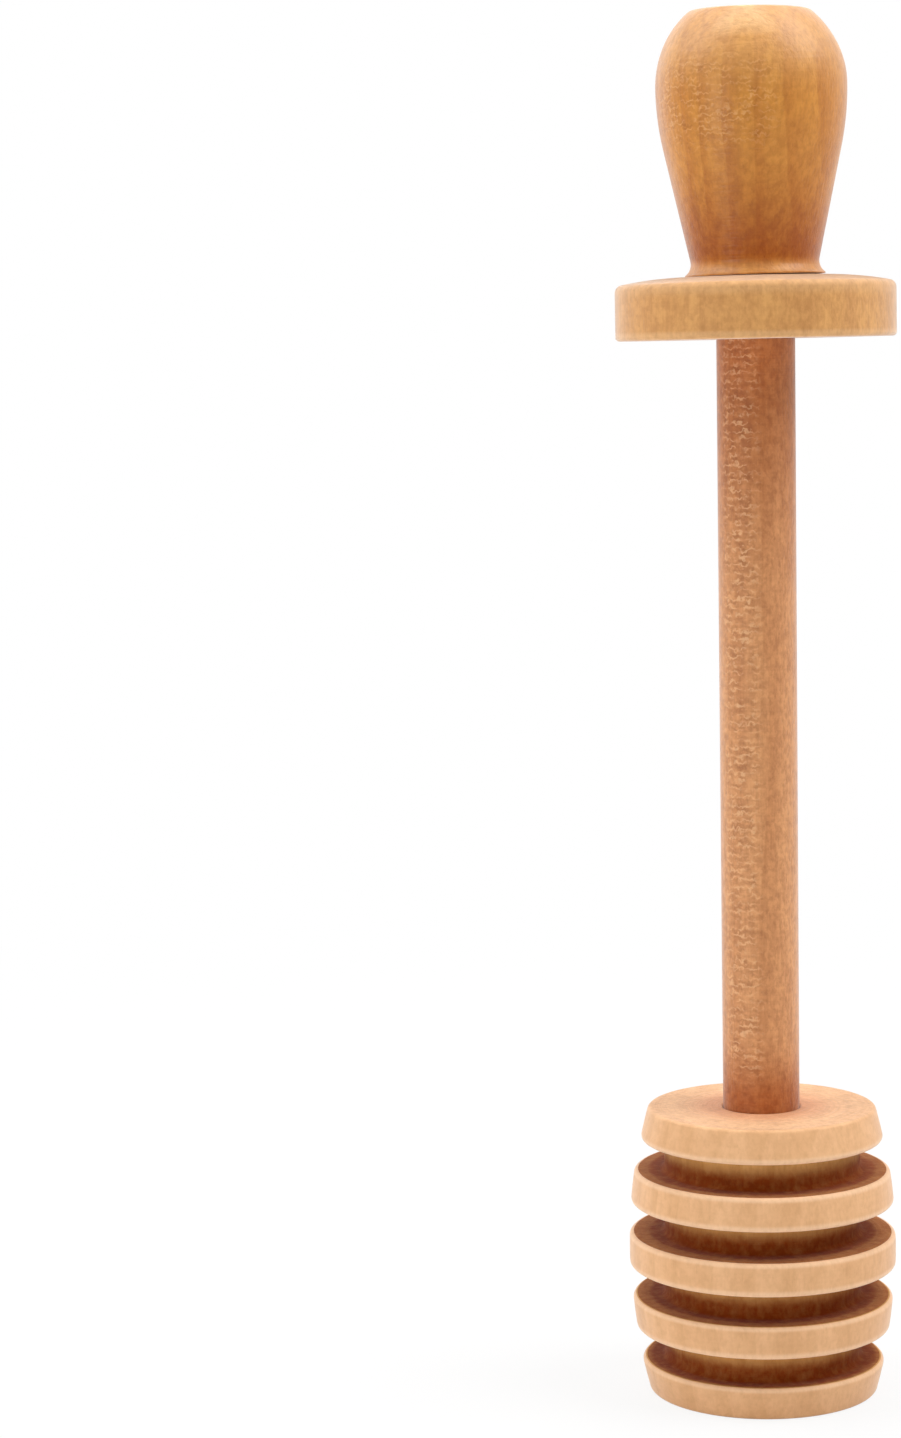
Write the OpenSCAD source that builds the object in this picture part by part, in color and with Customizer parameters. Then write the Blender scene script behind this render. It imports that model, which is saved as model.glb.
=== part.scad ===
// Honey dipper, turned in wood and glued up from a grooved head, a rod, a collar disc and a knob.
// Millimetres. Z is the turning axis, and the origin is the centre of the head's flat bottom.

/* [Dipping head] */
// Number of discs on the head
disc_count = 5; // [3:1:7]
// Thickness of one disc
disc_t = 3.45; // [2.4:0.05:5]
// Width of the groove between two discs
groove_w = 3.2; // [2:0.1:4]
// Radius of the head at its widest
head_r = 13.95; // [12.5:0.05:18]
// Radius of the arc of the barrel outline, seen from the side
barrel_arc_r = 56; // [40:1:120]
// Radius of the core that the grooves leave
core_r = 10.2; // [6.5:0.1:10.8]
// Chamfer on the edges of the discs
disc_edge = 0.35; // [0.1:0.05:0.6]

/* [Rod] */
// Radius of the dowel rod
rod_r = 4; // [3:0.1:5]
// Length of rod that shows between the head and the collar
rod_free = 79.7; // [40:0.1:120]
// Chamfer on both ends of the rod
rod_edge = 0.6; // [0.2:0.1:1]

/* [Collar disc] */
// Radius of the collar
collar_r = 14.4; // [12:0.1:20]
// Thickness of the collar where the knob sits on it
collar_t = 6.35; // [4.5:0.05:8]
// Radius of the shallow dome that falls from the knob's foot to the collar's edge
collar_dome_r = 34; // [24:1:80]
// Rounding of the collar's upper edge
collar_top_round = 0.8; // [0.5:0.1:2.2]
// Rounding of the collar's lower edge
collar_low_round = 0.4; // [0.3:0.1:1.6]

/* [Knob] */
// Radius of the knob at its widest, and of its rounded top
knob_r = 9.7; // [8.5:0.05:13]
// Height of the widest point over the knob's foot
knob_belly_z = 19; // [16:0.1:22]
// Radius of the arc that leads from the widest point into the taper
shoulder_arc_r = 29; // [20:1:34]
// Slope of the taper against the axis, in degrees
taper_angle = 12.4; // [9:0.1:13]
// Radius of the hollow curve above the foot
cove_r = 1.4; // [0.8:0.1:2]
// How far the foot stands out from the neck
foot_flare = 0.6; // [0.4:0.1:1.4]
// Height of the foot's straight edge
foot_h = 0.2; // [0.1:0.1:1.6]
// Radius of the flat on top
crown_flat_r = 5.5; // [2:0.1:6]
// Rounding round the flat on top
crown_round = 1; // [0.5:0.1:2]

/* [Glued joints] */
// Depth of the blind socket in the head
head_socket = 18; // [10:0.5:22]
// Depth of the blind socket in the knob
knob_socket = 16; // [10:0.5:18]
// Space left for glue over the rod's upper end
end_gap = 0.6; // [0.2:0.1:1]
// Radial clearance of the rod in its sockets and in the collar
glue_gap = 0.05; // [0.02:0.01:0.1]
// Chamfer on the mouths of the sockets and of the collar's bore
mouth_edge = 0.15; // [0.1:0.05:0.5]

/* [Hidden] */
$fn = 180;
// Overlap by which a cutter passes a face
pass = 0.5;

// Heights, stacked from the head's flat bottom
pitch = disc_t + groove_w;
head_h = disc_count * disc_t + (disc_count - 1) * groove_w;
belly_z = head_h / 2;
collar_z = head_h + rod_free;
knob_z = collar_z + collar_t;
rod_z = head_h - head_socket;
rod_len = head_socket + rod_free + collar_t + knob_socket - end_gap;

// Bore that holds the rod
bore_r = rod_r + glue_gap;

// Knob: the shoulder arc runs into a straight taper, and the taper into the hollow curve over the foot
taper_top_r = knob_r - shoulder_arc_r * (1 - cos(taper_angle));
taper_top_z = knob_belly_z - shoulder_arc_r * sin(taper_angle);
cove_angle = acos(max(0, 1 - foot_flare / cove_r));
neck_z = foot_h + cove_r * sin(cove_angle);
taper_end_z = neck_z + cove_r * sin(taper_angle);
taper_end_r = taper_top_r - (taper_top_z - taper_end_z) * tan(taper_angle);
neck_r = taper_end_r - cove_r * (1 - cos(taper_angle));
foot_r = neck_r + foot_flare;

// Collar: the dome's centre lies over the edge of the knob's foot, and its rim runs into the top rounding
dome_z = collar_t - collar_dome_r;
dome_run = collar_r - collar_top_round - foot_r;
rim_z = dome_z + sqrt(pow(collar_dome_r - collar_top_round, 2) - pow(dome_run, 2));
rim_angle = atan2(rim_z - dome_z, dome_run);

// Knob: centre of the rounding round the flat top, and the angle at which it meets the rounded top
crown_z = knob_belly_z + sqrt(pow(knob_r - crown_round, 2) - pow(crown_flat_r, 2));
crown_angle = acos(crown_flat_r / (knob_r - crown_round));
knob_h = crown_z + crown_round;

// Points on an arc about (x, z), from angle a to angle b, the ends included
function arc_points(x, z, r, a, b, steps) = [
    for (k = [0 : steps]) let (t = a + (b - a) * k / steps) [x + r * cos(t), z + r * sin(t)]
];

// Height of the underside of disc i
function disc_z(i) = i * pitch;

// Radius of the barrel outline at height z
function barrel_r(z) = head_r - barrel_arc_r + sqrt(pow(barrel_arc_r, 2) - pow(z - belly_z, 2));

// Half section to cut from an outer edge at radius r and height z, side 1 for a lower edge, -1 for an upper
module edge_cut(r, z, size, side) {
    polygon([
        [r - size - pass, z - side * pass],
        [r + size, z - side * pass],
        [r + size, z + side * 2 * size]
    ]);
}

// Round bore from height z, depth deep, with a chamfered mouth at each end that is open
module bore(z, depth, open_low, open_high) {
    low = open_low ? pass : 0;
    high = open_high ? pass : 0;
    mouth_r = bore_r + mouth_edge;
    translate([0, 0, z - low]) cylinder(h = depth + low + high, r = bore_r);
    if (open_low) {
        translate([0, 0, z - pass]) cylinder(h = pass + mouth_edge, r1 = mouth_r + pass, r2 = bore_r);
    }
    if (open_high) {
        translate([0, 0, z + depth - mouth_edge]) {
            cylinder(h = pass + mouth_edge, r1 = bore_r, r2 = mouth_r + pass);
        }
    }
}

module barrel_outline() {
    intersection() {
        translate([head_r - barrel_arc_r, belly_z]) circle(r = barrel_arc_r, $fn = 720);
        square([head_r + pass, head_h]);
    }
}

// Head with its discs, the grooves between them that hold the honey, and the rod's socket
module dipper_head() {
    color("burlywood") difference() {
        rotate_extrude() difference() {
            union() {
                intersection() {
                    barrel_outline();
                    for (i = [0 : disc_count - 1]) {
                        translate([0, disc_z(i)]) square([head_r + pass, disc_t]);
                    }
                }
                square([core_r, head_h]);
            }
            for (i = [0 : disc_count - 1]) {
                edge_cut(barrel_r(disc_z(i)), disc_z(i), disc_edge, 1);
                edge_cut(barrel_r(disc_z(i) + disc_t), disc_z(i) + disc_t, disc_edge, -1);
            }
        }
        bore(head_h - head_socket, head_socket, false, true);
    }
}

// Straight dowel from the head's socket through the collar into the knob
module rod() {
    color("peru") translate([0, 0, rod_z]) rotate_extrude() polygon([
        [0, 0],
        [rod_r - rod_edge, 0],
        [rod_r, rod_edge],
        [rod_r, rod_len - rod_edge],
        [rod_r - rod_edge, rod_len],
        [0, rod_len]
    ]);
}

// Half section of the collar over its own underside, from the axis round the outside to the top
module collar_section() {
    polygon(concat(
        [[0, 0]],
        arc_points(collar_r - collar_low_round, collar_low_round, collar_low_round, -90, 0, 6),
        arc_points(collar_r - collar_top_round, rim_z, collar_top_round, 0, rim_angle, 8),
        arc_points(foot_r, dome_z, collar_dome_r, rim_angle, 90, 6),
        [[0, collar_t]]
    ));
}

// Disc under the knob that stops the dipper on a jar's opening
module collar_disc() {
    color("burlywood") translate([0, 0, collar_z]) difference() {
        rotate_extrude() collar_section();
        bore(0, collar_t, true, true);
    }
}

// Half section of the knob over its own foot, from the foot round the outside to the flat top
module knob_section() {
    polygon(concat(
        [[0, 0], [foot_r, 0]],
        arc_points(neck_r + cove_r, neck_z, cove_r, 180 + cove_angle, 180 - taper_angle, 10),
        arc_points(knob_r - shoulder_arc_r, knob_belly_z, shoulder_arc_r, -taper_angle, 0, 8),
        arc_points(0, knob_belly_z, knob_r, 0, crown_angle, 24),
        arc_points(crown_flat_r, crown_z, crown_round, crown_angle, 90, 8),
        [[0, knob_h]]
    ));
}

// Egg-shaped knob that is the handle
module handle_knob() {
    color("peru") translate([0, 0, knob_z]) difference() {
        rotate_extrude() knob_section();
        bore(0, knob_socket, true, false);
    }
}

dipper_head();
rod();
collar_disc();
handle_knob();
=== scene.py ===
"""Honey dipper in turned beech: a grooved head, a dowel rod, a collar disc and an egg-shaped knob."""
import logging
import math
from dataclasses import dataclass, field, fields, replace
from enum import Enum

import bpy
from mathutils import Matrix, Vector


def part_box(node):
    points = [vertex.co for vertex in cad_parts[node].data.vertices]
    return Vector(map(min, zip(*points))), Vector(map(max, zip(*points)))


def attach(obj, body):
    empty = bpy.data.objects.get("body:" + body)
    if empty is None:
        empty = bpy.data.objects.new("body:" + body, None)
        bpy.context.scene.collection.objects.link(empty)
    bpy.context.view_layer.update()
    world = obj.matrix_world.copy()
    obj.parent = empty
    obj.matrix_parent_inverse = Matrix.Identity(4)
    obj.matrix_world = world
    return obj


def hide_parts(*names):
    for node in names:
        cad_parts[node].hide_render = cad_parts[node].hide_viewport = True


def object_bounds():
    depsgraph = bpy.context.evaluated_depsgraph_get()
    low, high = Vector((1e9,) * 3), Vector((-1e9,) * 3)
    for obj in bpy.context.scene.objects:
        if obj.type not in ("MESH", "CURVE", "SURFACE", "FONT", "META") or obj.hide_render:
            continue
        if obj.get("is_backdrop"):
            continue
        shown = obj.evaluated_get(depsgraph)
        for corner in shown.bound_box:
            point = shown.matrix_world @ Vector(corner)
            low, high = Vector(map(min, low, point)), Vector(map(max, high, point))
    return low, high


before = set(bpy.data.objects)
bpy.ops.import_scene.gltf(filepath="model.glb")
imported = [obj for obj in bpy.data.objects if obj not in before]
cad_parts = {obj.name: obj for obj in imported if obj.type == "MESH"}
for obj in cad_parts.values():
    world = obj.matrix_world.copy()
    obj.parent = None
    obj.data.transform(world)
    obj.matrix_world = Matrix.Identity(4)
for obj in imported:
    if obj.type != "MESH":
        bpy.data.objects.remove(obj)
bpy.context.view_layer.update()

LOG = logging.getLogger("honey_dipper")

# One millimetre in scene units
MM = 0.001
# A length too small to matter, in millimetres
TINY = 1e-4
# Points of an outline, as (radius, height) in millimetres
Outline = list[tuple[float, float]]
# Red, green, blue and alpha, linear
Colour = tuple[float, float, float, float]
# How widely the bloom of dry wood spreads, and how much of its relief shows
SHEEN_ROUGHNESS = 0.4
BUMP_STRENGTH = 0.6
# Edges sharper than this stay crisp, and corners of an outline blunter than the other need no rounding
SHARP_DEGREES = 40.0
BLUNT_DEGREES = 176.0
# A face whose normal is this near to upright is flat
FLAT_NORMAL = 0.99
# Thickness of one disc of the head, and the width of the groove over it, in millimetres
DISC = 3.45
GROOVE = 3.2


class Surface(Enum):
    """Material slots of the head, in the order in which its mesh holds them."""

    TURNED = 0
    # The grooves' slot takes a darker copy of the head's wood, with painted shade
    GROOVE = 1
    END = 2


class Measure(Enum):
    """What a zone of the wood's surface is measured along."""

    HEIGHT = "height over the base"
    RADIUS = "distance from the axis"
    DISC = "height over the underside of a disc"
    GROOVE = "height over the floor of a groove"
    SIDE = "distance from the axis towards one side"


class Tone(Enum):
    """How a zone differs from the wood round it, by the socket that takes it: painted shade, painted light or
    ripples.
    """

    DEEP = "Darkness"
    PALE = "Paleness"
    RIPPLED = "Ripples"


@dataclass(frozen=True)
class Corner:
    """One corner of an outline, in millimetres, and how it is softened."""

    r: float
    z: float
    rounding: float = 0.0


def arc_points(r: float, z: float, radius: float, start: float, end: float, steps: int) -> Outline:
    """Points on an arc of an outline, both ends included.

    Args:
        r: Radius at which the arc's centre lies.
        z: Height at which the arc's centre lies.
        radius: Radius of the arc itself.
        start: First angle in degrees, from the outward direction up.
        end: Last angle in degrees.
        steps: Number of steps between the ends.

    Returns:
        The points in order.
    """
    angles = (math.radians(start + (end - start) * k / steps) for k in range(steps + 1))
    return [(r + radius * math.cos(a), z + radius * math.sin(a)) for a in angles]


def soften(corners: list[Corner], steps: int = 5) -> Outline:
    """Rounds each corner of an outline by a true arc.

    Args:
        corners: The corners in order.
        steps: Steps in each rounded corner.

    Returns:
        The outline's points, with the first and last corner kept as they are.
    """
    points: Outline = [(corners[0].r, corners[0].z)]
    for before, here, after in zip(corners, corners[1:], corners[2:]):
        corner = Vector((here.r, here.z))
        back = (Vector((before.r, before.z)) - corner).normalized()
        ahead = (Vector((after.r, after.z)) - corner).normalized()
        half = back.angle(ahead) / 2
        if here.rounding <= 0 or half > math.radians(BLUNT_DEGREES) / 2:
            points.append((here.r, here.z))
            continue
        centre = corner + (back + ahead).normalized() * here.rounding / math.sin(half)
        run = here.rounding / math.tan(half)
        first, last = corner + back * run - centre, corner + ahead * run - centre
        turn = first.angle_signed(last)
        for k in range(steps + 1):
            spoke = first.copy()
            spoke.rotate(Matrix.Rotation(-turn * k / steps, 2))
            points.append(tuple(centre + spoke))
    points.append((corners[-1].r, corners[-1].z))
    return points


def refine(points: Outline, longest: float) -> Outline:
    """Splits the long stretches of an outline.

    Args:
        points: The outline.
        longest: The longest stretch to leave, in millimetres.

    Returns:
        The outline with points added on its straight stretches.
    """
    fine: Outline = [points[0]]
    for (r0, z0), (r1, z1) in zip(points, points[1:]):
        parts = max(1, math.ceil(math.hypot(r1 - r0, z1 - z0) / longest))
        fine += [(r0 + (r1 - r0) * k / parts, z0 + (z1 - z0) * k / parts) for k in range(1, parts + 1)]
    return fine


@dataclass(frozen=True)
class Lean:
    """How far a glued piece stands off square, about a point on the rod's axis."""

    degrees: float = 0.0
    pivot_z: float = 0.0

    def matrix(self) -> Matrix:
        """Returns the turn as a matrix in millimetres."""
        pivot = Matrix.Translation((0, 0, self.pivot_z))
        return pivot @ Matrix.Rotation(math.radians(-self.degrees), 4, "Y") @ pivot.inverted()


@dataclass
class TurnedPiece:
    """A piece turned on a lathe, as a closed mesh round the Z axis.

    Attributes:
        name: Name of the piece.
        node: CAD node that the piece stands for.
        slot: Material slot of the record; not used.
        outline: Points from the axis round the outside and back, in millimetres.
        closed: True where the outline is a loop that doesn't touch the axis.
        segments: Divisions round the axis.
        oval: Share by which the piece is out of round.
        oval_turn: Direction of its longer side, in degrees.
        lean: How the piece stands on the rod.
        bore: Radius of its hole for the rod, which stays square while the outside leans.
        bore_top: Height up to which that hole reaches.
        crown_slope: Slope of its upper end, which the maker sanded a little askew.
        crown_from: Height from which that slope comes in.
        crown_reach: Height over which it comes in.
    """

    name: str
    node: str
    slot: str
    outline: Outline
    closed: bool = False
    segments: int = 192
    oval: float = 0.0012
    oval_turn: float = 0.0
    lean: Lean = Lean()
    bore: float = 0.0
    bore_top: float = 0.0
    crown_slope: float = 0.0
    crown_from: float = math.inf
    crown_reach: float = 6.0

    def ring(self, r: float, z: float) -> list[Vector]:
        """Works out one ring of the mesh, slightly out of round and leaning with the piece.

        Args:
            r: Radius of the ring, in millimetres.
            z: Its height, in millimetres.

        Returns:
            The points of the ring, or the one point on the axis.
        """
        if r < TINY:
            points = [Vector((0, 0, z))]
        else:
            points = []
            for k in range(self.segments):
                angle = math.tau * k / self.segments
                swell = math.cos(2 * (angle - math.radians(self.oval_turn))) - 1
                radius = r * (1 + self.oval / 2 * swell)
                points.append(Vector((radius * math.cos(angle), radius * math.sin(angle), z)))
        if r < self.bore + TINY and z < self.bore_top + TINY:
            return points
        if z > self.crown_from:
            way = min(1.0, (z - self.crown_from) / self.crown_reach)
            for point in points:
                point.z -= self.crown_slope * way * way * (3 - 2 * way) * point.x
        turn = self.lean.matrix()
        return [turn @ point for point in points]

    def build(self) -> bpy.types.Object:
        """Makes the mesh and puts it on the CAD's body in place of its node.

        Returns:
            The new object, which has no material yet.
        """
        verts: list[Vector] = []
        rings: list[list[int]] = []
        for r, z in self.outline:
            points = self.ring(r, z)
            rings.append(list(range(len(verts), len(verts) + len(points))))
            verts += points
        faces: list[tuple[int, ...]] = []
        pairs = list(zip(rings, rings[1:]))
        if self.closed:
            pairs.append((rings[-1], rings[0]))
        for low, high in pairs:
            for k in range(self.segments):
                nxt = (k + 1) % self.segments
                if len(low) == 1:
                    faces.append((low[0], high[nxt], high[k]))
                elif len(high) == 1:
                    faces.append((low[k], low[nxt], high[0]))
                else:
                    faces.append((low[k], low[nxt], high[nxt], high[k]))
        mesh = bpy.data.meshes.new(self.name)
        mesh.from_pydata([v * MM for v in verts], [], faces)
        mesh.validate()
        mesh.shade_smooth()
        mesh.set_sharp_from_angle(angle=math.radians(SHARP_DEGREES))
        piece = bpy.data.objects.new(self.name, mesh)
        bpy.context.scene.collection.objects.link(piece)
        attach(piece, "root")
        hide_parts(self.node)
        LOG.info("%s: %d faces", self.name, len(mesh.polygons))
        return piece


@dataclass(frozen=True)
class Pattern:
    """A noise in the wood, and how it is eased into a mask.

    Attributes:
        scale: Fineness of the pattern.
        detail: How many finer layers there are.
        rough: How strong the finer layers are.
        low: Noise at which the mask begins.
        high: Noise at which the mask is whole.
        stretch: Share of the way along the grain that counts, low for long streaks.
    """

    scale: float
    detail: float
    rough: float
    low: float = 0.0
    high: float = 1.0
    stretch: float = 1.0


class Nodes:
    """A node tree with short calls for the nodes that the wood is made of."""

    def __init__(self, tree: bpy.types.NodeTree) -> None:
        """Starts on a tree.

        Args:
            tree: The node tree to add to.
        """
        self.tree = tree

    def add(self, kind: str, **settings: object) -> bpy.types.Node:
        """Adds a node.

        Args:
            kind: The node's type.
            settings: Its properties by name.

        Returns:
            The node.
        """
        node = self.tree.nodes.new(kind)
        for name, value in settings.items():
            setattr(node, name, value)
        return node

    def feed(self, socket: bpy.types.NodeSocket, value: object) -> None:
        """Gives a socket its value.

        Args:
            socket: The socket to fill.
            value: An output to link to it, or a plain value.
        """
        if isinstance(value, bpy.types.NodeSocket):
            self.tree.links.new(value, socket)
        else:
            socket.default_value = value

    def math(self, operation: str, *values: object, clamp: bool = False) -> bpy.types.NodeSocket:
        """Result of a Math node.

        Args:
            operation: The node's operation.
            values: Outputs or numbers for its inputs, in order.
            clamp: True to hold the result between 0 and 1.

        Returns:
            The node's output.
        """
        node = self.add("ShaderNodeMath", operation=operation, use_clamp=clamp)
        for socket, value in zip(node.inputs, values):
            self.feed(socket, value)
        return node.outputs[0]

    def vector(self, x: object, y: object, z: object) -> bpy.types.NodeSocket:
        """A vector from its parts.

        Args:
            x: First part, an output or a number.
            y: Second part.
            z: Third part.

        Returns:
            The vector output.
        """
        node = self.add("ShaderNodeCombineXYZ")
        for socket, value in zip(node.inputs, (x, y, z)):
            self.feed(socket, value)
        return node.outputs[0]

    def place(self) -> tuple[bpy.types.NodeSocket, bpy.types.NodeSocket, bpy.types.NodeSocket]:
        """The point on the surface in the dipper's frame.

        Returns:
            Its X, Y and Z in millimetres.
        """
        apart = self.add("ShaderNodeSeparateXYZ")
        self.feed(apart.inputs[0], self.add("ShaderNodeTexCoord").outputs["Object"])
        x, y, z = (self.math("MULTIPLY", out, 1 / MM) for out in apart.outputs)
        return x, y, z

    def length(self, x: object, y: object) -> bpy.types.NodeSocket:
        """Length of a flat vector."""
        squares = self.math("ADD", self.math("MULTIPLY", x, x), self.math("MULTIPLY", y, y))
        return self.math("SQRT", squares)

    def noise(self, place: object, pattern: Pattern) -> bpy.types.NodeSocket:
        """Noise between about 0 and 1.

        Args:
            place: The vector output that the noise is read at.
            pattern: What the noise is like.

        Returns:
            The noise's value.
        """
        node = self.add("ShaderNodeTexNoise")
        self.feed(node.inputs["Vector"], place)
        node.inputs["Scale"].default_value = pattern.scale
        node.inputs["Detail"].default_value = pattern.detail
        node.inputs["Roughness"].default_value = pattern.rough
        return node.outputs["Fac"]

    def ramp(self, value: object, low: float, high: float) -> bpy.types.NodeSocket:
        """Eases a value into a mask.

        Args:
            value: The output to ease.
            low: The value that gives 0.
            high: The value that gives 1, which may be the smaller of the two.

        Returns:
            The mask.
        """
        node = self.add("ShaderNodeMapRange", interpolation_type="SMOOTHSTEP")
        self.feed(node.inputs["Value"], value)
        node.inputs["From Min"].default_value = low
        node.inputs["From Max"].default_value = high
        return node.outputs["Result"]

    def blend(self, share: object, first: object, second: object, way: str = "MIX") -> bpy.types.NodeSocket:
        """Mixes two colours.

        Args:
            share: How much of the second colour there is, from 0 to 1.
            first: The first colour or its output.
            second: The second colour or its output.
            way: How the second colour acts on the first, as the node's blend type.

        Returns:
            The mixed colour.
        """
        node = self.add("ShaderNodeMix", data_type="RGBA", blend_type=way)
        colours = [socket for socket in node.inputs if socket.type == "RGBA"]
        self.feed(node.inputs[0], share)
        self.feed(colours[0], first)
        self.feed(colours[1], second)
        return next(socket for socket in node.outputs if socket.type == "RGBA")


def linear(red: int, green: int, blue: int) -> Colour:
    """Turns a colour as a screen shows it into a linear one.

    Args:
        red: Red, from 0 to 255.
        green: Green.
        blue: Blue.

    Returns:
        The linear colour, opaque.
    """
    def channel(value: int) -> float:
        """One channel made linear."""
        share = value / 255
        return share / 12.92 if share <= 0.04045 else ((share + 0.055) / 1.055) ** 2.4
    return channel(red), channel(green), channel(blue), 1.0


# Stands in a finish for the colour of zones that it doesn't have
UNUSED = linear(255, 255, 255)


@dataclass(frozen=True)
class Limit:
    """One edge of a zone.

    Attributes:
        measure: What the edge is measured along.
        faded: Where the zone begins to show, in millimetres.
        full: Where it is whole, in millimetres.
        turn: Direction of a side, in degrees left of the front.
    """

    measure: Measure
    faded: float
    full: float
    turn: float = 0.0

    def mask(self, nodes: Nodes) -> bpy.types.NodeSocket:
        """How far inside this edge each point is.

        Args:
            nodes: The node tree to work in.

        Returns:
            A value from 0, outside, to 1, inside.
        """
        x, y, z = nodes.place()
        along = z
        if self.measure is Measure.RADIUS:
            along = nodes.length(x, y)
        elif self.measure is Measure.DISC:
            along = nodes.math("FLOORED_MODULO", z, DISC + GROOVE)
        elif self.measure is Measure.GROOVE:
            along = nodes.math("FLOORED_MODULO", nodes.math("SUBTRACT", z, DISC - TINY), DISC + GROOVE)
        elif self.measure is Measure.SIDE:
            turn = math.radians(self.turn)
            along = nodes.math("MULTIPLY_ADD", y, -math.cos(turn), nodes.math("MULTIPLY", x, -math.sin(turn)))
        return nodes.ramp(along, self.faded, self.full)


@dataclass(frozen=True)
class Zone:
    """A part of a surface that is darker with painted shade, paler with painted light, or rippled.

    Attributes:
        tone: What is different there.
        share: How strong it is, from 0 to 1.
        limits: Its edges, which all have to hold.
    """

    tone: Tone
    share: float
    limits: tuple[Limit, ...]

    def mask(self, nodes: Nodes) -> bpy.types.NodeSocket:
        """Strength of the zone at each point.

        Args:
            nodes: The node tree to work in.

        Returns:
            A value from 0 to 1.
        """
        strength = self.share
        for limit in self.limits:
            strength = nodes.math("MULTIPLY", strength, limit.mask(nodes))
        return strength


@dataclass(frozen=True)
class WoodFinish:
    """The look of one piece of turned beech. A value named like a socket of the wood group goes there.

    Attributes:
        name: Name of the material.
        early: Colour of the pale wood in a year's ring.
        late: Colour of the ring's dark line.
        shade: Tint that fibres, blotches, flecks, pores and tool marks put over the wood.
        pith_x: Where the tree's centre lay beside the piece, in millimetres.
        pith_y: The same, along Y.
        ring_width: Width of a year's ring, in millimetres.
        ring_depth: Strength of the dark line, from 0 to 1.
        fibre_depth: Strength of the fine fibres, from 0 to 1.
        ray_depth: Strength of the flecks, from 0 to 1.
        tool_depth: Strength of the marks that the turning tool left, from 0 to 1.
        roughness: Roughness of the surface.
        specular: Strength of the mirror-like part of its shine.
        sheen: Strength of the pale bloom of dry wood at a slant.
        shift: Offset along the grain, so that no two pieces match, in millimetres.
        deep: Colour of the zones of painted shade.
        pale: Colour of the zones of painted light, and of the ripples' crests.
        relief: Height of the grain and tool marks, in millimetres.
        mottle_depth: Strength of the soft blotches, from 0 to 1.
        pore_depth: Strength of the pores, from 0 to 1.
        ripple_pitch: Distance between the ripples of chattered wood, in millimetres.
        zones: Its zones of painted shade, painted light and ripples.
    """

    name: str
    early: Colour
    late: Colour
    shade: Colour
    pith_x: float
    pith_y: float
    ring_width: float
    ring_depth: float
    fibre_depth: float
    ray_depth: float
    tool_depth: float
    roughness: float
    shift: float
    deep: Colour = UNUSED
    pale: Colour = UNUSED
    specular: float = 0.35
    sheen: float = 0.2
    relief: float = 0.05
    mottle_depth: float = 0.3
    pore_depth: float = 0.14
    ripple_pitch: float = 1.0
    zones: tuple[Zone, ...] = ()

    def material(self, group: bpy.types.NodeTree) -> bpy.types.Material:
        """Makes the material from the shared wood group.

        Args:
            group: The wood group.

        Returns:
            The material.
        """
        made = bpy.data.materials.new(self.name)
        made.use_nodes = True
        nodes = Nodes(made.node_tree)
        shader = made.node_tree.nodes["Principled BSDF"]
        wood = nodes.add("ShaderNodeGroup", node_tree=group)
        for part in fields(self):
            socket = part.name.replace("_", " ").title()
            if socket in wood.inputs:
                wood.inputs[socket].default_value = getattr(self, part.name)
        for tone in Tone:
            strength: bpy.types.NodeSocket | float = 0.0
            for zone in self.zones:
                if zone.tone is tone:
                    strength = nodes.math("MAXIMUM", strength, zone.mask(nodes))
            nodes.feed(wood.inputs[tone.value], strength)
        bump = nodes.add("ShaderNodeBump")
        bump.inputs["Strength"].default_value = BUMP_STRENGTH
        bump.inputs["Distance"].default_value = self.relief * MM
        nodes.feed(bump.inputs["Height"], wood.outputs["Height"])
        nodes.feed(shader.inputs["Base Color"], wood.outputs["Color"])
        nodes.feed(shader.inputs["Roughness"], wood.outputs["Roughness"])
        nodes.feed(shader.inputs["Normal"], bump.outputs["Normal"])
        shader.inputs["Specular IOR Level"].default_value = self.specular
        shader.inputs["Sheen Weight"].default_value = self.sheen
        shader.inputs["Sheen Roughness"].default_value = SHEEN_ROUGHNESS
        return made


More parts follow.
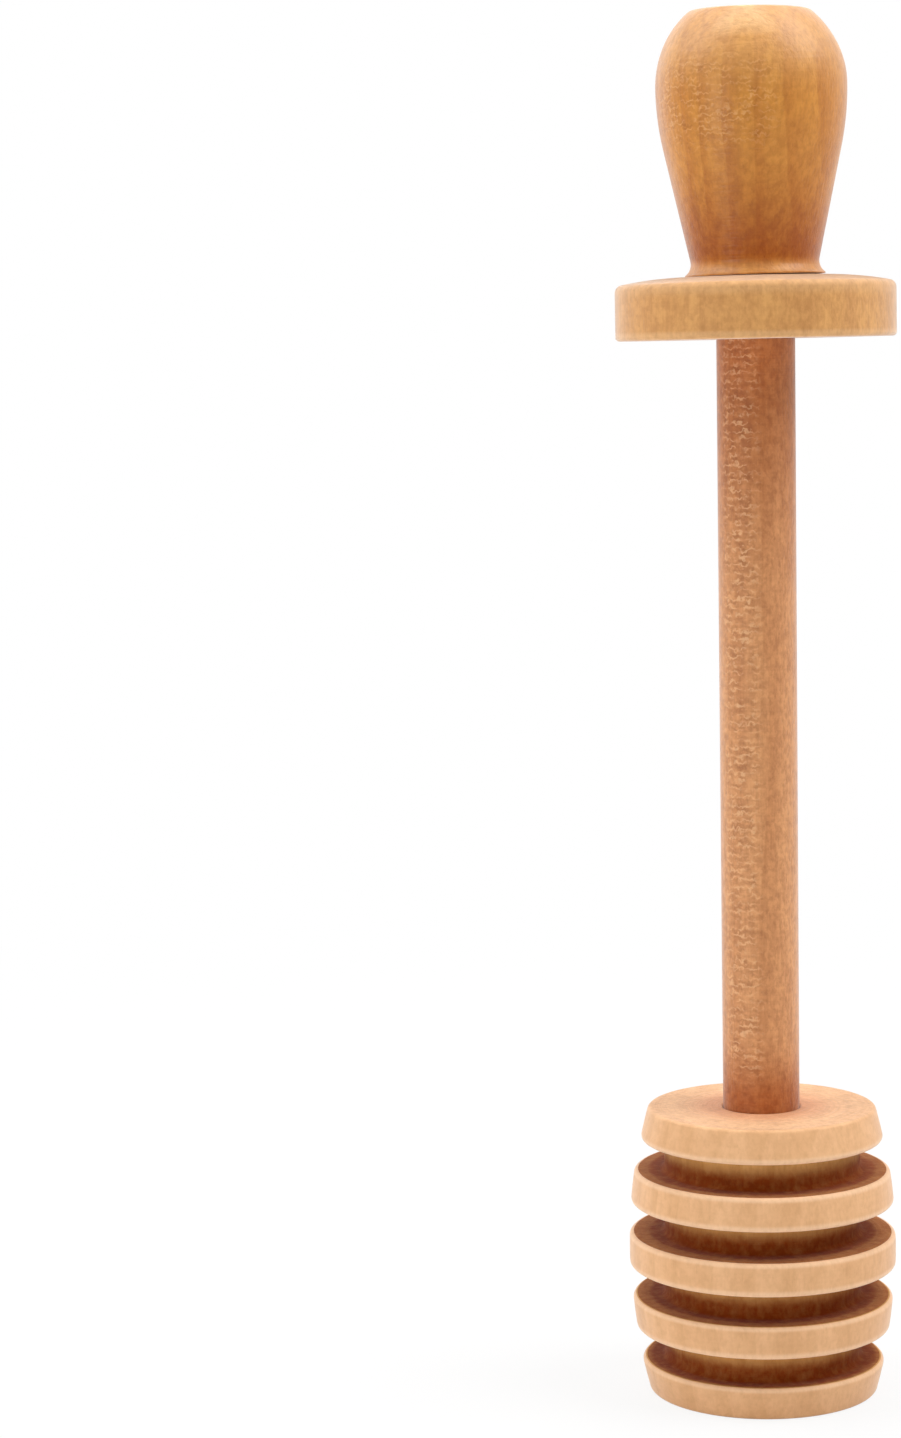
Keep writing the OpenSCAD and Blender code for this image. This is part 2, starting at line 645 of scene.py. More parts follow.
@dataclass(frozen=True)
class Beech:
    """The solid pattern of beech: year rings, fibres, ray flecks, pores, turning marks and ripples.

    Depths, shades and shares run from 0 to 1, and reaches are in millimetres.
    """

    # How real rings wander, and the soft dark line near the end of each year, as shares of the year
    wander: Pattern = Pattern(0.12, 2.0, 0.5, stretch=0.2)
    wander_reach: float = 5.0
    line_start: tuple[float, float] = (0.35, 0.93)
    line_end: tuple[float, float] = (1.0, 0.94)
    # A broad drift of tone along the stick
    drift: Pattern = Pattern(0.3, 2.0, 0.5, 0.42, 0.68, stretch=0.12)
    drift_depth: float = 0.3
    # Small soft blotches, as sanding and oil leave them, which also make the zones uneven
    blotch: Pattern = Pattern(1.1, 4.0, 0.64, 0.36, 0.66, stretch=0.7)
    zone_uneven: float = 0.7
    zone_even: float = 0.65
    fibre: Pattern = Pattern(2.6, 4.0, 0.7, 0.38, 0.66, stretch=0.08)
    # Ray flecks, and their fineness round the tree, out from its centre and along the grain
    fleck: Pattern = Pattern(1.0, 2.0, 0.6, 0.42, 0.66)
    fleck_around: float = 3.2
    fleck_out: float = 0.9
    fleck_along: float = 1.5
    # Pores, as cells with a dark middle
    pore_scale: float = 4.4
    pore_stretch: float = 0.1
    pore_edge: tuple[float, float] = (0.24, 0.08)
    # Turning marks, and how far they drift on the way round
    feed: Pattern = Pattern(2.6, 3.0, 0.65, 0.34, 0.66)
    feed_drift: float = 0.03
    feed_shade: float = 0.25
    # Ripples, how far the grain bends them, and where they break up
    bend: Pattern = Pattern(1.7, 2.0, 0.5)
    bend_reach: float = 1.8
    patch: Pattern = Pattern(0.9, 3.0, 0.6, 0.36, 0.62)
    crest: tuple[float, float] = (0.25, 1.0)
    trough: tuple[float, float] = (-0.1, -0.95)
    crest_share: float = 0.55
    trough_shade: float = 0.4
    # Shares of the relief, and what the fibres add to the roughness
    fibre_height: float = 0.5
    pore_height: float = 0.3
    ripple_height: float = 0.4
    fibre_roughness: float = 0.12

    def sockets(self, group: bpy.types.NodeTree) -> None:
        """Names what goes into the group and comes out of it.

        Args:
            group: The new group.
        """
        face = group.interface
        for name in ("Early", "Late", "Shade", "Deep", "Pale"):
            face.new_socket(name, in_out="INPUT", socket_type="NodeSocketColor")
        for name in (
            "Darkness", "Paleness", "Ripples", "Pith X", "Pith Y", "Ring Width", "Ring Depth", "Fibre Depth",
            "Ray Depth", "Tool Depth", "Mottle Depth", "Pore Depth", "Ripple Pitch", "Roughness", "Shift",
        ):
            face.new_socket(name, in_out="INPUT", socket_type="NodeSocketFloat")
        face.new_socket("Color", in_out="OUTPUT", socket_type="NodeSocketColor")
        for name in ("Roughness", "Height"):
            face.new_socket(name, in_out="OUTPUT", socket_type="NodeSocketFloat")

    def group(self) -> bpy.types.NodeTree:
        """Builds the group that every piece's material shares.

        Returns:
            The group, with Color, Roughness and Height outputs.
        """
        group = bpy.data.node_groups.new("turned_beech", "ShaderNodeTree")
        self.sockets(group)
        nodes = Nodes(group)
        given = nodes.add("NodeGroupInput").outputs
        x, y, z = nodes.place()
        along = nodes.math("ADD", z, given["Shift"])

        def grain(stretch: float) -> bpy.types.NodeSocket:
            """The point in the wood, drawn out along the grain."""
            return nodes.vector(x, y, nodes.math("MULTIPLY", along, stretch))

        def noise(pattern: Pattern) -> bpy.types.NodeSocket:
            """The noise of a pattern that runs with the grain."""
            return nodes.noise(grain(pattern.stretch), pattern)

        def mask(value: object, pattern: Pattern) -> bpy.types.NodeSocket:
            """A noise eased into its pattern's mask."""
            return nodes.ramp(value, pattern.low, pattern.high)

        def shaded(color: bpy.types.NodeSocket, share: object, depth: object) -> bpy.types.NodeSocket:
            """The colour with the wood's darker tint over it, where the share is high."""
            return nodes.blend(nodes.math("MULTIPLY", share, depth), color, given["Shade"], "MULTIPLY")

        # Distance from the tree's centre and the way round it
        from_x = nodes.math("SUBTRACT", x, given["Pith X"])
        from_y = nodes.math("SUBTRACT", y, given["Pith Y"])
        out_r = nodes.length(from_x, from_y)
        far = nodes.math("ADD", out_r, nodes.math("MULTIPLY", noise(self.wander), self.wander_reach))
        pith = nodes.length(given["Pith X"], given["Pith Y"])
        around = nodes.math("MULTIPLY", nodes.math("ARCTAN2", from_y, from_x), pith)

        # Year rings: pale wood that darkens up to a soft line
        year = nodes.math("FRACT", nodes.math("DIVIDE", far, given["Ring Width"]))
        line = nodes.math("MULTIPLY", nodes.ramp(year, *self.line_start), nodes.ramp(year, *self.line_end))
        color = nodes.blend(nodes.math("MULTIPLY", line, given["Ring Depth"]), given["Early"], given["Late"])
        drift = mask(noise(self.drift), self.drift)
        color = nodes.blend(nodes.math("MULTIPLY", drift, self.drift_depth), color, given["Late"])

        # Zones of painted shade and painted light
        blotch = noise(self.blotch)
        uneven = nodes.math("MULTIPLY_ADD", blotch, self.zone_uneven, self.zone_even)
        for strength, tone in (("Darkness", "Deep"), ("Paleness", "Pale")):
            share = nodes.math("MULTIPLY", given[strength], uneven, clamp=True)
            color = nodes.blend(share, color, given[tone])

        # Blotches and fine fibres
        color = shaded(color, mask(blotch, self.blotch), given["Mottle Depth"])
        fibre = noise(self.fibre)
        color = shaded(color, mask(fibre, self.fibre), given["Fibre Depth"])

        # Ray flecks: thin sheets that stand out from the tree's centre, short along the grain
        sheet = nodes.vector(
            nodes.math("MULTIPLY", around, self.fleck_around),
            nodes.math("MULTIPLY", out_r, self.fleck_out),
            nodes.math("MULTIPLY", along, self.fleck_along),
        )
        fleck = mask(nodes.noise(sheet, self.fleck), self.fleck)
        color = shaded(color, fleck, given["Ray Depth"])

        # Pores: dots on end grain, and hair-thin strokes along the sides
        pores = nodes.add("ShaderNodeTexVoronoi", feature="F1")
        nodes.feed(pores.inputs["Vector"], grain(self.pore_stretch))
        pores.inputs["Scale"].default_value = self.pore_scale
        pore = nodes.ramp(pores.outputs["Distance"], *self.pore_edge)
        color = shaded(color, pore, given["Pore Depth"])

        # Turning marks: rings along the sides and round the flat faces
        turned = nodes.math("ADD", z, nodes.length(x, y))
        path = nodes.vector(0.0, nodes.math("MULTIPLY", around, self.feed_drift), turned)
        tool = nodes.math("MULTIPLY", mask(nodes.noise(path, self.feed), self.feed), given["Tool Depth"])
        color = shaded(color, tool, self.feed_shade)

        # Ripples: fine ridges that a chattering cutter leaves, which the grain bends into curls
        bent = nodes.math("MULTIPLY_ADD", noise(self.bend), self.bend_reach, along)
        turns = nodes.math("DIVIDE", bent, given["Ripple Pitch"])
        wave = nodes.math("SINE", nodes.math("MULTIPLY", turns, math.tau))
        broken = nodes.math("MULTIPLY", mask(noise(self.patch), self.patch), given["Ripples"])
        crest = nodes.math("MULTIPLY", nodes.ramp(wave, *self.crest), broken)
        trough = nodes.math("MULTIPLY", nodes.ramp(wave, *self.trough), broken)
        color = nodes.blend(nodes.math("MULTIPLY", crest, self.crest_share), color, given["Pale"])
        color = shaded(color, trough, self.trough_shade)

        # Relief: tool marks, fibres and ripples stand up, and pores and flecks lie low
        ripple = nodes.math("SUBTRACT", crest, trough)
        height = nodes.math("ADD", tool, nodes.math("MULTIPLY", fibre, self.fibre_height))
        height = nodes.math("SUBTRACT", height, nodes.math("MULTIPLY", pore, self.pore_height))
        height = nodes.math("SUBTRACT", height, nodes.math("MULTIPLY", fleck, given["Ray Depth"]))
        height = nodes.math("ADD", height, nodes.math("MULTIPLY", ripple, self.ripple_height))
        extra = nodes.math("MULTIPLY", fibre, self.fibre_roughness)

        output = nodes.add("NodeGroupOutput")
        nodes.feed(output.inputs["Color"], color)
        nodes.feed(output.inputs["Roughness"], nodes.math("ADD", given["Roughness"], extra, clamp=True))
        nodes.feed(output.inputs["Height"], height)
        return group


HEAD_WOOD = WoodFinish(
    name="head_beech",
    early=linear(237, 186, 136),
    late=linear(214, 160, 108),
    shade=linear(211, 191, 170),
    pale=linear(252, 211, 172),
    pith_x=-46.0,
    pith_y=34.0,
    ring_width=3.4,
    ring_depth=0.3,
    fibre_depth=0.08,
    ray_depth=0.13,
    tool_depth=0.2,
    mottle_depth=0.17,
    roughness=0.55,
    sheen=0.4,
    shift=11.0,
    zones=(
        # Painted highlights along the lower and upper rounded edges of every rim
        Zone(Tone.PALE, 0.7, (Limit(Measure.DISC, 0.8, 0.35), Limit(Measure.RADIUS, 12.0, 12.4))),
        Zone(Tone.PALE, 0.6, (Limit(Measure.DISC, 2.85, 3.2), Limit(Measure.RADIUS, 12.0, 12.4))),
    ),
)
END_WOOD = replace(
    HEAD_WOOD,
    name="head_end_grain",
    deep=linear(236, 148, 92),
    pale=linear(255, 206, 154),
    ring_depth=0.4,
    fibre_depth=0.34,
    ray_depth=0.26,
    tool_depth=0.8,
    mottle_depth=0.3,
    pore_depth=0.2,
    zones=(
        # Painted shade round the rod's foot: the flat faces darker and more orange near the axis, and paler
        # with painted light farther out
        Zone(Tone.PALE, 0.35, (Limit(Measure.RADIUS, 5.0, 8.0),)),
        Zone(Tone.DEEP, 0.42, (Limit(Measure.RADIUS, 9.5, 5.5),)),
    ),
)
# A darker copy of the head's wood for the grooves' faces: painted shade in the grooves
SHADED_GROOVE_WOOD = replace(
    HEAD_WOOD,
    name="groove_beech_painted_shade",
    early=linear(224, 174, 108),
    late=linear(196, 140, 76),
    shade=linear(195, 174, 150),
    deep=linear(142, 62, 4),
    fibre_depth=0.17,
    ray_depth=0.15,
    tool_depth=0.45,
    mottle_depth=0.15,
    roughness=0.7,
    specular=0.12,
    sheen=0.15,
    zones=(
        # Painted shade, darkest near the core and each groove's floor, fading towards the rims' edge and the
        # groove's ceiling
        Zone(Tone.DEEP, 0.95, (Limit(Measure.GROOVE, 2.9, 0.9), Limit(Measure.RADIUS, 13.2, 11.4))),
        Zone(Tone.DEEP, 0.72, (Limit(Measure.GROOVE, 2.9, 0.9), Limit(Measure.RADIUS, 14.0, 13.4))),
    ),
)
ROD_WOOD = WoodFinish(
    name="rod_beech",
    early=linear(227, 163, 108),
    late=linear(198, 129, 76),
    shade=linear(184, 156, 130),
    deep=linear(177, 95, 30),
    pale=linear(246, 200, 152),
    pith_x=42.0,
    pith_y=-18.0,
    ring_width=3.1,
    ring_depth=0.3,
    fibre_depth=0.19,
    ray_depth=0.28,
    tool_depth=0.3,
    mottle_depth=0.28,
    ripple_pitch=0.85,
    roughness=0.5,
    sheen=0.65,
    relief=0.07,
    shift=74.0,
    zones=(
        # Painted shadow under the collar, darker towards the rod's top
        Zone(Tone.DEEP, 0.72, (Limit(Measure.HEIGHT, 80.0, 106.0),)),
        # Painted shade at the rod's foot, where it meets the head
        Zone(Tone.DEEP, 0.85, (Limit(Measure.HEIGHT, 38.0, 31.0),)),
        Zone(Tone.RIPPLED, 0.8, (
            Limit(Measure.SIDE, 3.1, 3.95, turn=28.0),
            Limit(Measure.HEIGHT, 32.5, 35.5),
        )),
    ),
)
COLLAR_WOOD = WoodFinish(
    name="collar_beech",
    early=linear(226, 167, 98),
    late=linear(196, 136, 76),
    shade=linear(205, 184, 156),
    pale=linear(240, 192, 138),
    pith_x=38.0,
    pith_y=-40.0,
    ring_width=3.6,
    ring_depth=0.25,
    fibre_depth=0.12,
    ray_depth=0.2,
    tool_depth=0.2,
    mottle_depth=0.35,
    roughness=0.55,
    sheen=0.7,
    shift=143.0,
    zones=(
        # Painted highlights on the collar's lower rounded edge and on the outer dome near its top edge
        Zone(Tone.PALE, 0.6, (Limit(Measure.HEIGHT, 110.7, 110.2), Limit(Measure.RADIUS, 13.4, 13.8))),
        Zone(Tone.PALE, 0.45, (Limit(Measure.HEIGHT, 113.7, 114.8), Limit(Measure.RADIUS, 11.0, 13.2))),
    ),
)
KNOB_WOOD = WoodFinish(
    name="knob_beech",
    early=linear(221, 151, 65),
    late=linear(192, 116, 42),
    shade=linear(196, 169, 140),
    deep=linear(172, 90, 10),
    pale=linear(249, 199, 140),
    pith_x=44.0,
    pith_y=-19.0,
    ring_width=2.8,
    ring_depth=0.45,
    fibre_depth=0.16,
    ray_depth=0.22,
    tool_depth=0.2,
    mottle_depth=0.3,
    ripple_pitch=0.7,
    roughness=0.28,
    specular=0.3,
    sheen=0.3,
    relief=0.07,
    shift=211.0,
    zones=(
        # Painted shade in the neck's undercut, darkest just above the foot and fading up the taper
        Zone(Tone.DEEP, 0.74, (Limit(Measure.HEIGHT, 129.0, 118.4), Limit(Measure.HEIGHT, 116.6, 118.4))),
        Zone(Tone.RIPPLED, 0.55, (
            Limit(Measure.SIDE, 6.0, 8.6, turn=28.0),
            Limit(Measure.HEIGHT, 127.0, 131.0),
            Limit(Measure.HEIGHT, 139.5, 135.5),
        )),
        # Painted light from above: the crown paler towards the top
        Zone(Tone.PALE, 0.4, (Limit(Measure.HEIGHT, 133.0, 139.8),)),
        # Painted light on the foot, where light bounces up off the collar
        Zone(Tone.PALE, 0.2, (Limit(Measure.HEIGHT, 117.7, 117.0),)),
        # Painted highlight on the front of the crown, where the top light reflects
        Zone(Tone.PALE, 0.9, (
            Limit(Measure.SIDE, 1.5, 4.6, turn=50.0),
            Limit(Measure.SIDE, 1.5, 4.6, turn=-38.0),
            Limit(Measure.HEIGHT, 138.0, 141.0),
        )),
    ),
)


@dataclass
class RodFit:
    """The glued fit of the rod, as each piece that holds it needs it. Sizes are in millimetres."""

    clearance: float = 0.05
    mouth_chamfer: float = 0.15
    rod_radius: float = field(default_factory=lambda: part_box("rod")[1][0] / MM)

    @property
    def bore(self) -> float:
        """Radius of the hole."""
        return self.rod_radius + self.clearance

    @property
    def mouth(self) -> float:
        """Radius of the hole's chamfered mouth."""
        return self.bore + self.mouth_chamfer


@dataclass
class DippingHead:
    """The grooved head that holds the honey. Sizes are in millimetres."""

    fit: RodFit
    barrel_arc: float = 56.0
    core_radius: float = 10.2
    arris: float = 0.42
    groove_fillet: float = 0.6
    socket_depth: float = 18.0
    socket_round: float = 0.4
    # Stretches in each rim, and the longest side of a face
    rim_steps: int = 4
    longest: float = 0.6
    # How far each rim falls short of the barrel's outline, from the lowest disc up
    rim_faults: tuple[float, ...] = (0.04, 0.13, 0.04, 0.0, 0.07)

    def __post_init__(self) -> None:
        """Takes the head's height and radius from the frame."""
        low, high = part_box("dipper_head")
        self.height = high[2] / MM
        self.radius = high[0] / MM

    def rim(self, z: float) -> float:
        """Radius of the barrel's outline at height z."""
        return self.radius - self.barrel_arc + math.sqrt(self.barrel_arc**2 - (z - self.height / 2) ** 2)

    def outline(self) -> Outline:
        """The head's section, from the base's centre round the discs to the socket's floor.

        Returns:
            Points in millimetres.
        """
        corners = [Corner(0, 0)]
        for k, fault in enumerate(self.rim_faults):
            low = k * (DISC + GROOVE)
            high = low + DISC
            if k:
                corners.append(Corner(self.core_radius, low, self.groove_fillet))
            for step in range(self.rim_steps + 1):
                z = low + step / self.rim_steps * DISC
                softened = self.arris if step in (0, self.rim_steps) else 0
                corners.append(Corner(self.rim(z) - fault, z, softened))
            if k < len(self.rim_faults) - 1:
                corners.append(Corner(self.core_radius, high, self.groove_fillet))
        floor = self.height - self.socket_depth
        corners += [
            Corner(self.fit.mouth, self.height),
            Corner(self.fit.bore, self.height - self.fit.mouth_chamfer),
            Corner(self.fit.bore, floor, self.socket_round),
            Corner(0, floor),
        ]
        return refine(soften(corners), self.longest)

    def build(self, finishes: dict[Surface, bpy.types.Material]) -> bpy.types.Object:
        """Builds the head and gives its rims, grooves and ends their own finishes.

        Args:
            finishes: The material of each kind of surface.

        Returns:
            The head.
        """
        piece = TurnedPiece(
            "dipper_head_turned", "dipper_head", "head_wood", self.outline(), oval_turn=20,
        ).build()
        for surface in Surface:
            piece.data.materials.append(finishes[surface])
        for face in piece.data.polygons:
            centre = face.center / MM
            under_rim = math.hypot(centre.x, centre.y) < self.rim(centre.z) - self.arris
            surface = Surface.TURNED
            if under_rim and self.arris < centre.z < self.height - self.arris:
                # Faces inside the grooves take the wood with painted shade
                surface = Surface.GROOVE
            elif abs(face.normal.z) > FLAT_NORMAL:
                surface = Surface.END
            face.material_index = surface.value
        return piece


@dataclass
class DowelRod:
    """The straight dowel between head and knob. Sizes are in millimetres."""

    end_chamfer: float = 0.6
    # The dowel is a hair thicker at the knob than at the head
    taper: float = 0.03
    end_round: float = 0.15
    side_round: float = 0.2
    round_steps: int = 3
    longest: float = 0.8

    def build(self, wood: bpy.types.Material) -> bpy.types.Object:
        """Builds the rod.

        Args:
            wood: Its finish.

        Returns:
            The rod.
        """
        low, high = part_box("rod")
        radius, bottom, top = high[0] / MM, low[2] / MM, high[2] / MM
        corners = [
            Corner(0, bottom),
            Corner(radius - self.end_chamfer, bottom, self.end_round),
            Corner(radius - self.taper, bottom + self.end_chamfer, self.side_round),
            Corner(radius + self.taper, top - self.end_chamfer, self.side_round),
            Corner(radius - self.end_chamfer, top, self.end_round),
            Corner(0, top),
        ]
        outline = refine(soften(corners, self.round_steps), self.longest)
        piece = TurnedPiece("rod_dowel", "rod", "rod_wood", outline, segments=128, oval_turn=65).build()
        piece.data.materials.append(wood)
        return piece


@dataclass
class HandleKnob:
    """The egg-shaped knob. Sizes are in millimetres."""

    fit: RodFit
    shoulder_arc: float = 29.0
    taper_degrees: float = 12.4
    cove: float = 1.4
    foot_flare: float = 0.6
    foot_edge: float = 0.2
    crown_flat: float = 5.8
    crown_round: float = 0.8
    socket_depth: float = 16.0
    lean_degrees: float = 0.85
    # Slope of the flat on top against the knob's own axis
    crown_slope: float = 0.02
    # Glue under the foot, and what comes off the height, so that the leaning knob stays in its space
    glue: float = 0.07
    trim: float = 0.12
    socket_chamfer: float = 0.3
    longest: float = 0.5

    def __post_init__(self) -> None:
        """Takes the knob's place from the frame, and works out its taper, neck and foot."""
        low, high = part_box("handle_knob")
        self.seat, self.top, self.radius = low[2] / MM, high[2] / MM - self.trim, high[0] / MM
        self.crown_z = self.top - self.crown_round
        self.belly = self.crown_z - math.sqrt((self.radius - self.crown_round) ** 2 - self.crown_flat**2)
        slope = math.radians(self.taper_degrees)
        cove_turn = math.acos(1 - self.foot_flare / self.cove)
        self.cove_degrees = math.degrees(cove_turn)
        self.neck_z = self.seat + self.foot_edge + self.cove * math.sin(cove_turn)
        taper_top = self.radius - self.shoulder_arc * (1 - math.cos(slope))
        arcs = (self.shoulder_arc + self.cove) * math.sin(slope)
        taper_run = self.belly - self.neck_z - arcs
        self.neck = taper_top - taper_run * math.tan(slope) - self.cove * (1 - math.cos(slope))
        self.foot = self.neck + self.foot_flare

    def outline(self) -> Outline:
        """The knob's section, from the socket's end over the foot round the outside to the top.

        Returns:
            Points in millimetres.
        """
        crown_degrees = math.degrees(math.acos(self.crown_flat / (self.radius - self.crown_round)))
        bore, foot_z, socket_end = self.fit.bore, self.seat + self.glue, self.seat + self.socket_depth
        points = [(0, socket_end), (bore - self.socket_chamfer, socket_end)]
        points += [(bore, socket_end - self.socket_chamfer), (bore, foot_z + self.fit.mouth_chamfer)]
        points += [(self.fit.mouth, foot_z), (self.foot, foot_z)]
        cove_start, cove_end = 180 + self.cove_degrees, 180 - self.taper_degrees
        points += arc_points(self.neck + self.cove, self.neck_z, self.cove, cove_start, cove_end, steps=14)
        shoulder_r = self.radius - self.shoulder_arc
        points += arc_points(shoulder_r, self.belly, self.shoulder_arc, -self.taper_degrees, 0, steps=14)
        points += arc_points(0, self.belly, self.radius, 0, crown_degrees, steps=40)[1:]
        points += arc_points(self.crown_flat, self.crown_z, self.crown_round, crown_degrees, 90, steps=10)[1:]
        return refine([*points, (0, self.top)], self.longest)

    def build(self, wood: bpy.types.Material) -> bpy.types.Object:
        """Builds the knob.

        Args:
            wood: Its finish.

        Returns:
            The knob.
        """
        piece = TurnedPiece(
            "handle_knob_turned", "handle_knob", "knob_wood", self.outline(), oval=0.002, oval_turn=150,
            lean=Lean(self.lean_degrees, self.seat),
            bore=self.fit.bore, bore_top=self.seat + self.socket_depth,
            crown_slope=self.crown_slope, crown_from=self.belly,
        ).build()
        piece.data.materials.append(wood)
        return piece


@dataclass
class CollarDisc:
    """The domed disc under the knob. Sizes are in millimetres."""

    fit: RodFit
    # Radius of the knob's foot, from which the dome falls to the edge
    knob_foot: float
    dome: float = 34.0
    top_round: float = 0.8
    low_round: float = 0.4
    lean_degrees: float = 0.3
    # Taken off the edge and off the top, so that the leaning disc stays in its space
    edge_trim: float = 0.08
    top_trim: float = 0.03
    longest: float = 0.6

    def outline(self, bottom: float, seat: float, radius: float) -> Outline:
        """The collar's section as a loop, from its bore under the disc round the edge and over the dome.

        Args:
            bottom: Height of the underside.
            seat: Height at which the knob stands on it.
            radius: Radius of the edge.

        Returns:
            Points in millimetres, with the loop left open.
        """
        edge = radius - self.top_round
        dome_z = seat - self.dome
        rim_z = dome_z + math.sqrt((self.dome - self.top_round) ** 2 - (edge - self.knob_foot) ** 2)
        rim_degrees = math.degrees(math.atan2(rim_z - dome_z, edge - self.knob_foot))
        chamfer = self.fit.mouth_chamfer
        points = [(self.fit.bore, bottom + chamfer), (self.fit.mouth, bottom)]
        low = self.low_round
        points += arc_points(radius - low, bottom + low, low, -90, 0, steps=8)
        points += arc_points(edge, rim_z, self.top_round, 0, rim_degrees, steps=10)
        points += arc_points(self.knob_foot, dome_z, self.dome, rim_degrees, 90, steps=12)[1:]
        points += [(self.fit.mouth, seat), (self.fit.bore, seat - chamfer), (self.fit.bore, bottom + chamfer)]
        return refine(points, self.longest)[:-1]

    def build(self, wood: bpy.types.Material) -> bpy.types.Object:
        """Builds the collar.

        Args:
            wood: Its finish.

        Returns:
            The collar.
        """
        low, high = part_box("collar_disc")
        bottom, seat, radius = low[2] / MM, high[2] / MM - self.top_trim, high[0] / MM - self.edge_trim
        piece = TurnedPiece(
            "collar_disc_turned", "collar_disc", "collar_wood", self.outline(bottom, seat, radius),
            closed=True, oval_turn=110,
            lean=Lean(self.lean_degrees, bottom), bore=self.fit.bore, bore_top=seat,
        ).build()
        piece.data.materials.append(wood)
        return piece


@dataclass(frozen=True)
class SoftBox:
    """A soft light that looks at the middle of the dipper.

    Attributes:
        name: Name of the light.
        place: Where it stands, in metres.
        size: Width and height of its face, in metres.
        watts: Its power.
    """

    name: str
    place: tuple[float, float, float]
    size: tuple[float, float]
    watts: float

    def build(self, target: Vector) -> None:
        """Puts the light in the scene.

        Args:
            target: The point that it faces.
        """
        data = bpy.data.lights.new(self.name, "AREA")
        data.shape = "RECTANGLE"
        data.size, data.size_y = self.size
        data.energy = self.watts
        light = bpy.data.objects.new(self.name, data)
        light.location = self.place
        light.rotation_euler = (target - Vector(self.place)).to_track_quat("-Z", "Y").to_euler()
        bpy.context.scene.collection.objects.link(light)


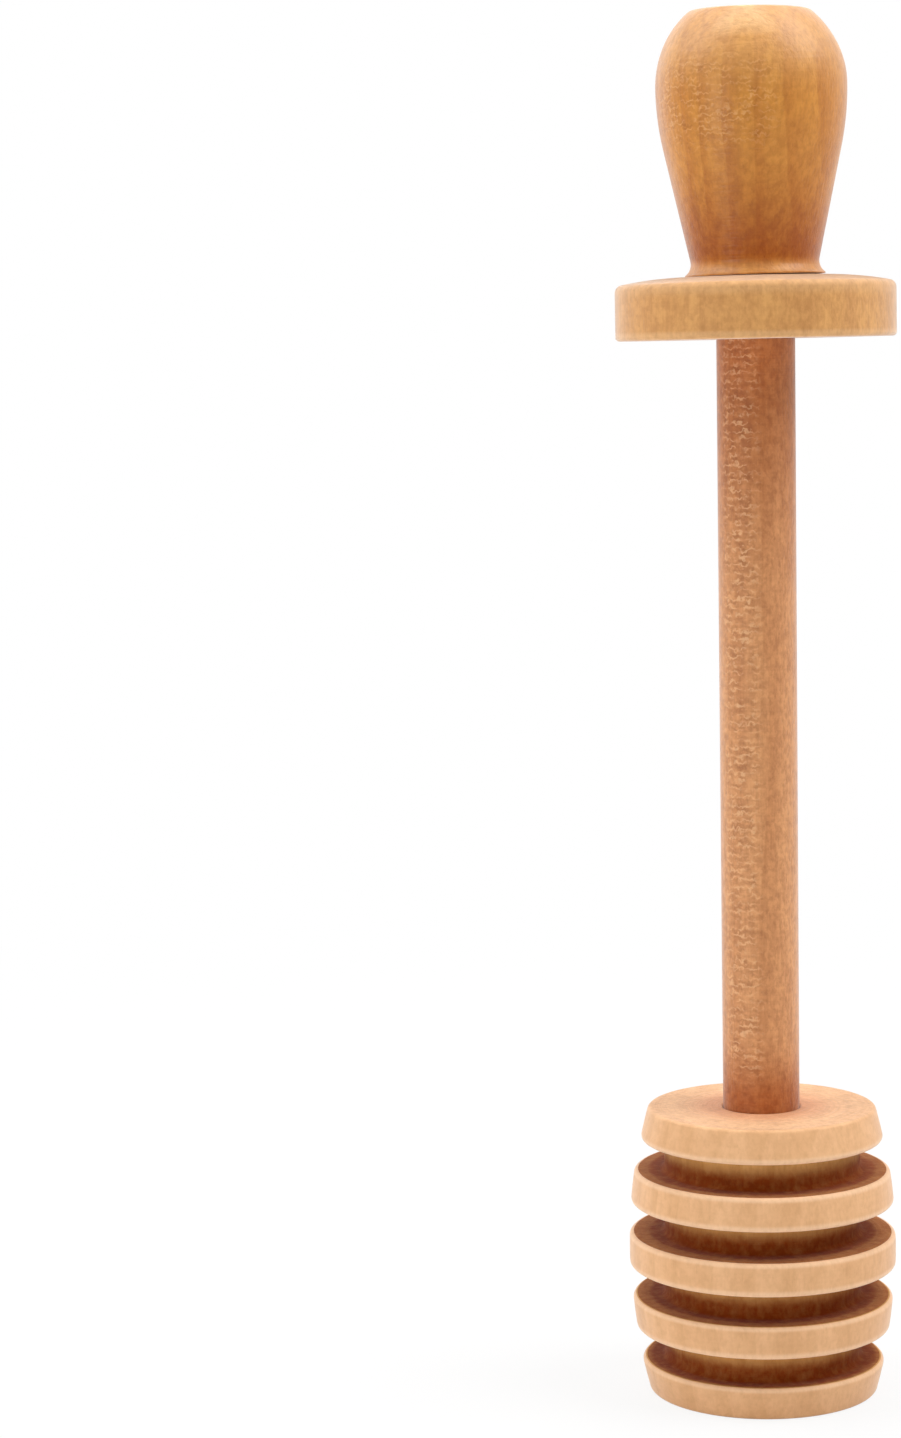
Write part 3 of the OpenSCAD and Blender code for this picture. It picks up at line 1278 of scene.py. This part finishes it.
@dataclass
class Studio:
    """The pale floor, the soft light and the camera."""

    # Camera, worked out from the edges of the discs and the collar in the picture
    distance: float = 0.350
    height: float = 0.10845
    yaw: float = 5.215
    pitch: float = 6.094
    roll: float = -0.981
    # Focal length over the picture's height
    focal_share: float = 3393.6 / 1438
    sensor: float = 24.0
    # Nearest thing that the camera sees, in metres
    nearest: float = 0.01
    world_light: float = 0.25
    # Brightness of the floor as a lit surface, and its finish
    floor_tone: float = 0.8
    floor_roughness: float = 0.9
    floor_shine: float = 0.1
    # Share of the floor's look that is plain white, beside the dipper and far from it
    white_near: float = 0.85
    white_reach: tuple[float, float] = (0.06, 0.3)
    floor_half: float = 3.0

    boxes: tuple[SoftBox, ...] = (
        SoftBox("top_box", (0.0, 0.05, 0.75), (0.8, 0.3), 1.5),
        SoftBox("top_left_box", (-0.45, -0.05, 0.6), (0.5, 0.5), 2.2),
        SoftBox("top_right_box", (0.45, -0.05, 0.6), (0.5, 0.5), 3.77),
        SoftBox("top_back_box", (0.0, 0.45, 0.62), (0.5, 0.5), 1.3),
        SoftBox("back_box", (-0.5, 0.45, 0.28), (0.5, 0.5), 0.65),
        SoftBox("low_left_box", (-0.4, -0.45, 0.06), (0.2, 0.1), 0.63),
    )

    def camera(self) -> None:
        """Makes the camera at the picture's viewpoint."""
        yaw, pitch, roll = (math.radians(a) for a in (self.yaw, self.pitch, self.roll))
        ahead = Vector((-math.sin(yaw) * math.cos(pitch), math.cos(yaw) * math.cos(pitch), -math.sin(pitch)))
        level = Vector((math.cos(yaw), math.sin(yaw), 0))
        upright = level.cross(ahead)
        right = level * math.cos(roll) + upright * math.sin(roll)
        up = upright * math.cos(roll) - level * math.sin(roll)
        data = bpy.data.cameras.new("camera")
        data.sensor_fit = "VERTICAL"
        data.sensor_height = self.sensor
        data.lens = self.focal_share * self.sensor
        data.clip_start = self.nearest
        camera = bpy.data.objects.new("camera", data)
        turn = Matrix((right, up, -ahead)).transposed().to_4x4()
        camera.matrix_world = Matrix.Translation((0, -self.distance, self.height)) @ turn
        bpy.context.scene.collection.objects.link(camera)
        bpy.context.scene.camera = camera

    def shown_directly(self, nodes: Nodes) -> bpy.types.NodeSocket:
        """Tells what is seen from what only lights.

        Args:
            nodes: The node tree to work in.

        Returns:
            1 where the camera, a reflection or a clear material looks, and 0 elsewhere.
        """
        path = nodes.add("ShaderNodeLightPath")
        seen = nodes.math("MAXIMUM", path.outputs["Is Camera Ray"], path.outputs["Is Glossy Ray"])
        return nodes.math("MAXIMUM", seen, path.outputs["Is Transmission Ray"])

    def world(self) -> None:
        """Makes the white surroundings, plain to the eye and softer as light."""
        world = bpy.data.worlds.new("white_surroundings")
        world.use_nodes = True
        nodes = Nodes(world.node_tree)
        background = world.node_tree.nodes["Background"]
        background.inputs["Color"].default_value = (1, 1, 1, 1)
        seen = self.shown_directly(nodes)
        strength = nodes.math("MULTIPLY_ADD", seen, 1 - self.world_light, self.world_light)
        nodes.feed(background.inputs["Strength"], strength)
        bpy.context.scene.world = world

    def floor(self) -> None:
        """Makes the white floor, which keeps the dipper's shadow near it."""
        half = self.floor_half
        mesh = bpy.data.meshes.new("floor")
        corners = [(-half, -half, 0), (half, -half, 0), (half, half, 0), (-half, half, 0)]
        mesh.from_pydata(corners, [], [(0, 1, 2, 3)])
        floor = bpy.data.objects.new("floor", mesh)
        bpy.context.scene.collection.objects.link(floor)
        floor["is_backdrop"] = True
        material = bpy.data.materials.new("floor_white")
        material.use_nodes = True
        nodes = Nodes(material.node_tree)
        shader = material.node_tree.nodes["Principled BSDF"]
        shader.inputs["Base Color"].default_value = (self.floor_tone, self.floor_tone, self.floor_tone, 1)
        shader.inputs["Roughness"].default_value = self.floor_roughness
        shader.inputs["Specular IOR Level"].default_value = self.floor_shine
        glow = nodes.add("ShaderNodeEmission")
        mix = nodes.add("ShaderNodeMixShader")
        x, y, _ = nodes.place()
        near, far = (reach / MM for reach in self.white_reach)
        way_out = nodes.ramp(nodes.length(x, y), near, far)
        white = nodes.math("MULTIPLY_ADD", way_out, 1 - self.white_near, self.white_near)
        nodes.feed(mix.inputs[0], nodes.math("MULTIPLY", self.shown_directly(nodes), white))
        nodes.feed(mix.inputs[1], shader.outputs[0])
        nodes.feed(mix.inputs[2], glow.outputs[0])
        nodes.feed(material.node_tree.nodes["Material Output"].inputs["Surface"], mix.outputs[0])
        mesh.materials.append(material)

    def build(self) -> None:
        """Makes the whole setting."""
        target = Vector((0, 0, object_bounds()[1][2] / 2))
        for box in self.boxes:
            box.build(target)
        self.camera()
        self.world()
        self.floor()
        bpy.context.scene.view_settings.view_transform = "Standard"


def main() -> None:
    """Builds the dipper's pieces in order, and then the studio round them."""
    logging.basicConfig(level=logging.INFO, format="%(name)s: %(message)s")
    group = Beech().group()
    fit = RodFit()
    DippingHead(fit).build({
        Surface.TURNED: HEAD_WOOD.material(group),
        Surface.GROOVE: SHADED_GROOVE_WOOD.material(group),
        Surface.END: END_WOOD.material(group),
    })
    DowelRod().build(ROD_WOOD.material(group))
    knob = HandleKnob(fit)
    knob.build(KNOB_WOOD.material(group))
    CollarDisc(fit, knob.foot).build(COLLAR_WOOD.material(group))
    Studio().build()


if __name__ == "__main__":
    main()
